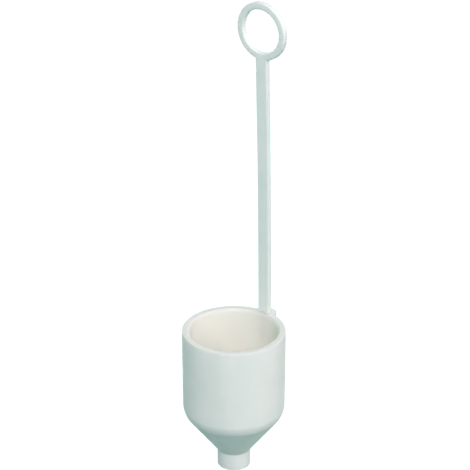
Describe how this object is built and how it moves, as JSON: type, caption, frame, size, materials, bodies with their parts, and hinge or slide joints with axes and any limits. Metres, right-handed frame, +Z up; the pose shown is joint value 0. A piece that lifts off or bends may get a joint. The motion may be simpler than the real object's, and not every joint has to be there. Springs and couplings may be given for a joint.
{
  "type": "dip flow cup",
  "caption": "White moulded dip cup with a cone, a short stem and an outlet nozzle, on a long flat strap handle that plugs in at the rim and ends in a hanging ring.",
  "frame": {"origin": "where a hook bears in the hanging ring: the top of the ring's hole, in the middle of the handle's thickness", "axes": "+Z up along the cup's axis, +Y from the cup's axis towards the handle, +X to the right of a viewer who faces the handle across the cup"},
  "size_m": [0.055, 0.0596, 0.2562],
  "materials": {
    "cup_plastic": "satin white moulding",
    "handle_plastic": "satin white moulding",
    "nozzle_plastic": "smooth white moulding"
  },
  "bodies": {
    "handle": {"handle": "handle_plastic"},
    "cup": {"cup_body": "cup_plastic", "outlet_nozzle": "nozzle_plastic"}
  },
  "joints": [
    {"name": "cup_pull_off", "type": "slide", "parent": "handle", "child": "cup", "axis": [0, 0, -1], "range_m": [0, 0.03]}
  ]
}
